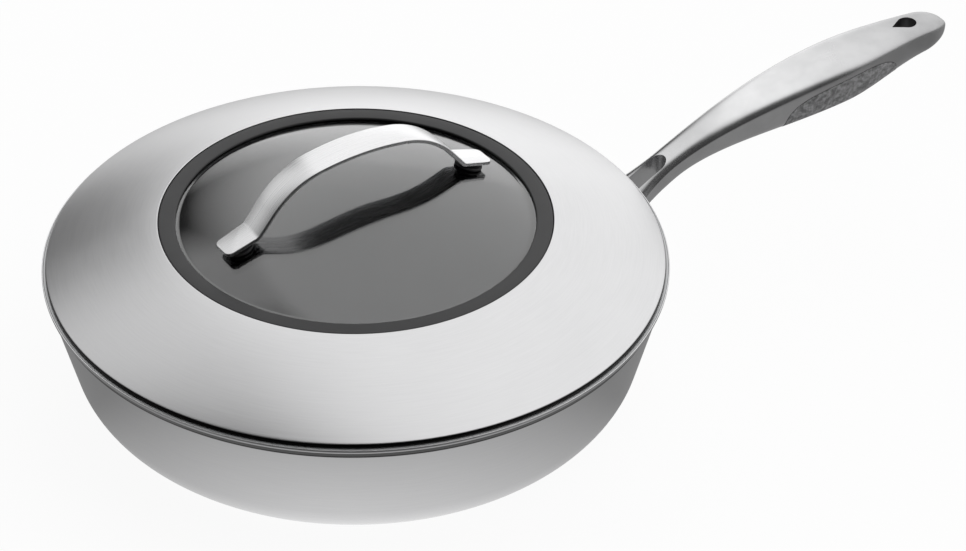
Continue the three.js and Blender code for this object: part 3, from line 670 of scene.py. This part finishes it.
# Lid handle: a flat steel strap bent to an arch, with a short square pad at each end that a screw holds.
# It is brushed along its length, and its edges are eased. The loose lid lies turned a little on the pan.
strap_thickness = 2 * mm
strap_width = 16 * mm
finger_room = 22.8 * mm
pad_width, pad_length, pad_overhang = 12.5 * mm, 13.5 * mm, 2 * mm
pad_corner = 3 * mm
pad_bottom = 3 * mm
leg_slope, arch_slope = radians(51), radians(10.5)
arch_radius, bend_radius = 120 * mm, 4 * mm


def square_to(slope):
    """Direction square to the strap where it falls away at a slope."""
    return Vector((sin(slope), 0, cos(slope)))


pad_run = Vector((cos(pad_tilt), 0, -sin(pad_tilt))) * pad_length
pad_middle = Vector((pad_x, 0, pad_level)) + (pad_bottom + strap_thickness / 2) * square_to(pad_tilt)
pad_tab = pad_run + pad_run.normalized() * pad_overhang
pad_end = pad_middle - pad_run / 2 + pad_tab
bend_middle = pad_middle - pad_run / 2 + bend_radius * square_to(pad_tilt)
arch_middle = Vector((0, 0, glass_top + dome_rise + finger_room + strap_thickness / 2 - arch_radius))
leg_reach = (bend_middle - arch_middle).dot(square_to(leg_slope)) - bend_radius
shoulder_turn = leg_slope - arch_slope
shoulder_radius = (leg_reach - arch_radius * cos(shoulder_turn)) / (1 - cos(shoulder_turn))
shoulder_middle = arch_middle + (arch_radius - shoulder_radius) * square_to(arch_slope)
leg_run = bend_middle - shoulder_middle - (bend_radius + shoulder_radius) * square_to(leg_slope)
mesh = bmesh.new()
end = [mesh.verts.new((-pad_end.x, y, pad_end.z)) for y in (-0.5, 0.5)]
free_edge = mesh.edges.new(end)


def carried(edge, run, rise):
    """The strap's free edge after a straight stretch."""
    moved = verts_of(bmesh.ops.extrude_edge_only(mesh, edges=[edge])["geom"])
    bmesh.ops.translate(mesh, vec=(run, 0, rise), verts=moved)
    return next(part for part in mesh.edges if set(part.verts) == set(moved))


def bent(edge, x, z, angle, steps):
    """The strap's free edge after a bend about a point of the side view."""
    last = bmesh.ops.spin(mesh, geom=[edge, *edge.verts], cent=(x, 0, z), axis=(0, 1, 0), angle=angle,
                          steps=steps)["geom_last"]
    return next(part for part in last if isinstance(part, bmesh.types.BMEdge))


free_edge = carried(free_edge, pad_tab.x, -pad_tab.z)
free_edge = bent(free_edge, -bend_middle.x, bend_middle.z, pad_tilt - leg_slope, 10)
free_edge = carried(free_edge, leg_run.x, -leg_run.z)
free_edge = bent(free_edge, -shoulder_middle.x, shoulder_middle.z, shoulder_turn, 32)
free_edge = bent(free_edge, 0, arch_middle.z, 2 * arch_slope, 24)
free_edge = bent(free_edge, shoulder_middle.x, shoulder_middle.z, shoulder_turn, 32)
free_edge = carried(free_edge, leg_run.x, leg_run.z)
free_edge = bent(free_edge, bend_middle.x, bend_middle.z, pad_tilt - leg_slope, 10)
carried(free_edge, pad_tab.x, pad_tab.z)
bmesh.ops.remove_doubles(mesh, verts=mesh.verts, dist=0.01 * mm)
for vert in mesh.verts:
    way = vert.co.x / pad_end.x
    vert.co.y *= pad_width + (strap_width - pad_width) * (1 - way * way)
corners = [vert for vert in mesh.verts if len(vert.link_edges) == 2]
bmesh.ops.bevel(mesh, geom=corners, offset=pad_corner, offset_type="OFFSET", affect="VERTICES", segments=6,
                profile=0.5, material=-1)
lid_handle = settled("lid_handle", mesh, radians(60))
sheet = lid_handle.modifiers.new("thickness", "SOLIDIFY")
sheet.thickness = strap_thickness
sheet.offset = 0
ease = lid_handle.modifiers.new("eased_edges", "BEVEL")
ease.width = 0.4 * mm
ease.segments = 3
ease.limit_method = "ANGLE"
ease.angle_limit = radians(50)
applied(lid_handle).data.transform(Matrix.Rotation(lid_turn, 4, "Z"))
strap_steel, tree, surface, place = shader("strap_steel")
turned_back = wired(tree, "ShaderNodeMapping", {"Vector": place, "Rotation": (0, 0, -lid_turn)}).outputs[0]
split = wired(tree, "ShaderNodeSeparateXYZ", {0: turned_back}).outputs
lengthwise = wired(tree, "ShaderNodeCombineXYZ", {
    0: math(tree, "MULTIPLY", split[0], 30.0), 1: math(tree, "MULTIPLY", split[1], 2200.0)}).outputs[0]
grain = noise(tree, lengthwise, 1.0, 3.0)
surface.inputs["Metallic"].default_value = 1
tree.links.new(blended(tree, grain, (0.56, 0.56, 0.565), (0.70, 0.70, 0.705)), surface.inputs["Base Color"])
tree.links.new(between(tree, grain, 0.2, 0.34), surface.inputs["Roughness"])
pressed_in(tree, surface, grain, 0.3, 0.02 * mm)
dressed(lid_handle, strap_steel, "satin_steel", "lid", "lid_handle")

# What holds each pad of the lid handle. Above the glass stand a black spacer and a soft washer; below it
# come a collared washer, a steel washer and a socket-head screw, driven up into the pad.
spacer_bottom = 1.2 * mm
washer_top = -glass_thickness - 0.1 * mm
washer_bottom = -glass_thickness - 2.1 * mm
steel_bottom = washer_bottom - 1 * mm
screw_bottom = steel_bottom - 2.6 * mm
screw_radius, screw_head, screw_tip = 2.3 * mm, 4.4 * mm, 3.5 * mm
socket_radius, socket_depth = 1.75 * mm, 1.6 * mm
socket_turn = radians(4)
bore = screw_radius + fit
washer_radius = 6.6 * mm
collar_radius = 3.7 * mm
spacer_bore, spacer_radius = 3.9 * mm, 5.2 * mm
soft = 0.25 * mm
foot_pieces = {
    "handle_spacer": ([(spacer_bore, spacer_bottom, 0), (spacer_radius, spacer_bottom, soft),
                       (spacer_radius, pad_bottom, soft), (spacer_bore, pad_bottom, 0)], silicone),
    "upper_washer": ([(bore, 0, 0), (washer_radius, 0, soft),
                      (washer_radius, spacer_bottom, 2 * soft), (bore, spacer_bottom, 0)], silicone),
    "lower_washer": ([(bore, washer_bottom, 0), (washer_radius, washer_bottom, soft),
                      (washer_radius, washer_top, soft), (collar_radius, washer_top, 0),
                      (collar_radius, -fit, 0), (bore, -fit, 0)], silicone),
    "steel_washer": ([(bore, steel_bottom, 0), (washer_radius, steel_bottom, soft),
                      (washer_radius, washer_bottom, soft), (bore, washer_bottom, 0)], peened_steel),
}
for side, way in (("left", -1), ("right", 1)):
    for name, (outline, material) in foot_pieces.items():
        mesh = spun(outline, closed=True, steps=48)
        bmesh.ops.transform(mesh, matrix=at_pad(way), verts=mesh.verts)
        slot = "silicone" if material is silicone else "satin_steel"
        dressed(settled(f"{name}_{side}", mesh), material, slot, "lid", f"{name}_{side}")
    screw = settled(f"lid_screw_{side}", spun([
        (0, screw_bottom, 0),
        (screw_head, screw_bottom, 0.6 * mm),
        (screw_head, steel_bottom, 0.2 * mm),
        (screw_radius, steel_bottom, 0),
        (screw_radius, screw_tip, 0.5 * mm),
        (0, screw_tip, 0),
    ], steps=48))
    socket = bmesh.new()
    bmesh.ops.create_circle(socket, segments=6, radius=socket_radius, cap_ends=True,
                            matrix=Matrix.Rotation(socket_turn, 4, "Z"))
    bmesh.ops.translate(socket, vec=(0, 0, screw_bottom - socket_depth), verts=socket.verts)
    shaped(screw, upright(socket, 2 * socket_depth), "DIFFERENCE")
    screw.data.transform(at_pad(way))
    dressed(screw, peened_steel, "satin_steel", "lid", f"lid_screw_{side}")

# Studio: a plain white table under a soft sky that is bright high on the right, high on the left and low
# behind the pan, with a weak lamp in front, and a camera that looks down with the handle away to the right.
view_turn = radians(28)
away = Vector((sin(view_turn), cos(view_turn), 0))
right = Vector((away.y, -away.x, 0))
middle = Vector((0, 0, pan_height))
below_pan = Matrix.Translation((0, 0, -0.2 * mm))
mesh = bmesh.new()
bmesh.ops.create_grid(mesh, x_segments=8, y_segments=8, size=6, matrix=below_pan)
table = settled("table", mesh)
table.data.flip_normals()
paper, tree, surface, place = shader("white_paper")
fibre = noise(tree, place, 60.0, 3.0)
tree.links.new(blended(tree, fibre, (0.93, 0.93, 0.93), (0.96, 0.96, 0.96)), surface.inputs["Base Color"])
tree.links.new(between(tree, fibre, 0.85, 0.95), surface.inputs["Roughness"])
surface.inputs["Specular IOR Level"].default_value = 0.1


def measured(tree, operation, place, spot):
    """Length along a direction, or distance from a spot, over a surface or the sky."""
    return wired(tree, "ShaderNodeVectorMath", {0: place, 1: spot}, operation=operation).outputs["Value"]


# painted reflection: the table glows only for what steel and glass mirror, dim in front, with a soft pool of
# painted light under the pan's front and bright far behind
back = measured(tree, "DOT_PRODUCT", place, away)
near = between(tree, back, 0.04, 0.32, -0.22, -0.17)
behind = between(tree, back, 0.0, 1.2, 0.1, 1.2)
across = math(tree, "MULTIPLY", measured(tree, "DOT_PRODUCT", place, right), 0.8)
spread = wired(tree, "ShaderNodeCombineXYZ", {0: across, 1: back}).outputs[0]
before = between(tree, measured(tree, "DISTANCE", spread, (0, -0.1, 0)), 1.05, 0.0, 0.0, 0.125)
glow = math(tree, "ADD", near, math(tree, "ADD", behind, before))
# the camera sees white paper that keeps a little of the pan's shadow, and from below it sees through
white = wired(tree, "ShaderNodeEmission").outputs[0]
ray = wired(tree, "ShaderNodeLightPath").outputs
seen = math(tree, "MULTIPLY", ray["Is Camera Ray"], 0.93)
mirrors = math(tree, "MAXIMUM", ray["Is Glossy Ray"], ray["Is Transmission Ray"])
glowing = wired(tree, "ShaderNodeEmission", {"Strength": glow}).outputs[0]
paper_seen = wired(tree, "ShaderNodeMixShader", {0: seen, 1: surface.outputs[0], 2: white}).outputs[0]
paper_mirrored = wired(tree, "ShaderNodeMixShader", {0: mirrors, 1: paper_seen, 2: glowing}).outputs[0]
clear = wired(tree, "ShaderNodeBsdfTransparent").outputs[0]
underside = wired(tree, "ShaderNodeNewGeometry").outputs["Backfacing"]
from_above = wired(tree, "ShaderNodeMixShader", {0: underside, 1: paper_mirrored, 2: clear}).outputs[0]
tree.links.new(from_above, tree.nodes["Material Output"].inputs["Surface"])
table.data.materials.append(paper)


# weak lamp in front, high on the left
lamp = bpy.data.lights.new("front_light", "AREA")
lamp.shape = "RECTANGLE"
lamp.size, lamp.size_y = 1.2, 0.9
radiance = 0.3
lamp.energy = 4 * radiance * lamp.size * lamp.size_y
softbox = bpy.data.objects.new("front_light", lamp)
softbox.location = middle - 0.9 * right - 1.6 * away + Vector((0, 0, 1.4))
softbox.rotation_euler = (middle - softbox.location).to_track_quat("-Z", "Y").to_euler()
bpy.context.scene.collection.objects.link(softbox)

# sky that the camera sees as plain white and that lights the pan in three soft patches
world = bpy.data.worlds.new("studio")
bpy.context.scene.world = world
world.use_nodes = True
tree = world.node_tree
sky = wired(tree, "ShaderNodeTexCoord").outputs["Generated"]
towards_light = 0.6 * right + 0.45 * away + Vector((0, 0, 0.5))
high_right = between(tree, measured(tree, "DOT_PRODUCT", sky, towards_light), 0.07, 1.4, 0.31, 0.47)
towards_left = -0.5 * right - 0.25 * away + Vector((0, 0, 0.75))
high_left = between(tree, measured(tree, "DOT_PRODUCT", sky, towards_left), 0.0, 1.08, 0.34, 0.56)
behind_pan = between(tree, measured(tree, "DOT_PRODUCT", sky, away), 0.0, 1.0, -0.1, 0.35)
towards_horizon = 0.15 * right + 0.985 * away + Vector((0, 0, 0.1))
horizon = between(tree, measured(tree, "DOT_PRODUCT", sky, towards_horizon), 0.0, 1.6, 0.85, 0.98)
high = math(tree, "MAXIMUM", high_right, math(tree, "MULTIPLY", high_left, behind_pan))
sky_light = math(tree, "MAXIMUM", high, horizon)
ray = wired(tree, "ShaderNodeLightPath").outputs["Is Camera Ray"]
strength = wired(tree, "ShaderNodeMix", {0: ray, 2: sky_light, 3: 1.0}).outputs[0]
tree.links.new(strength, tree.nodes["Background"].inputs["Strength"])
tree.nodes["Background"].inputs["Color"].default_value = (1, 1, 1, 1)

# camera fitted to the photo: its distance, slope and roll, then its lens and its aim in the photo's pixels
distance, elevation, roll = 1.6, radians(35.27), 0.011
focal, photo_width, aim_right, aim_up = 3452.8, 966, 126.4, -19.5
ahead = away * cos(elevation) - Vector((0, 0, sin(elevation)))
above = away * sin(elevation) + Vector((0, 0, cos(elevation)))
sideways = (above + roll * right).cross(-ahead).normalized()
lens = bpy.data.cameras.new("camera")
lens.sensor_width = 36
lens.lens = focal / photo_width * lens.sensor_width
camera = bpy.data.objects.new("camera", lens)
upward = sideways.cross(ahead)
aim = (focal * ahead + aim_right * sideways + aim_up * upward).normalized()
level = aim.cross(upward).normalized()
turn = Matrix((level, level.cross(aim), -aim)).transposed()
camera.matrix_world = Matrix.Translation(middle - distance * ahead) @ turn.to_4x4()
bpy.context.scene.collection.objects.link(camera)
bpy.context.scene.camera = camera
bpy.context.scene.view_settings.view_transform = "Standard"
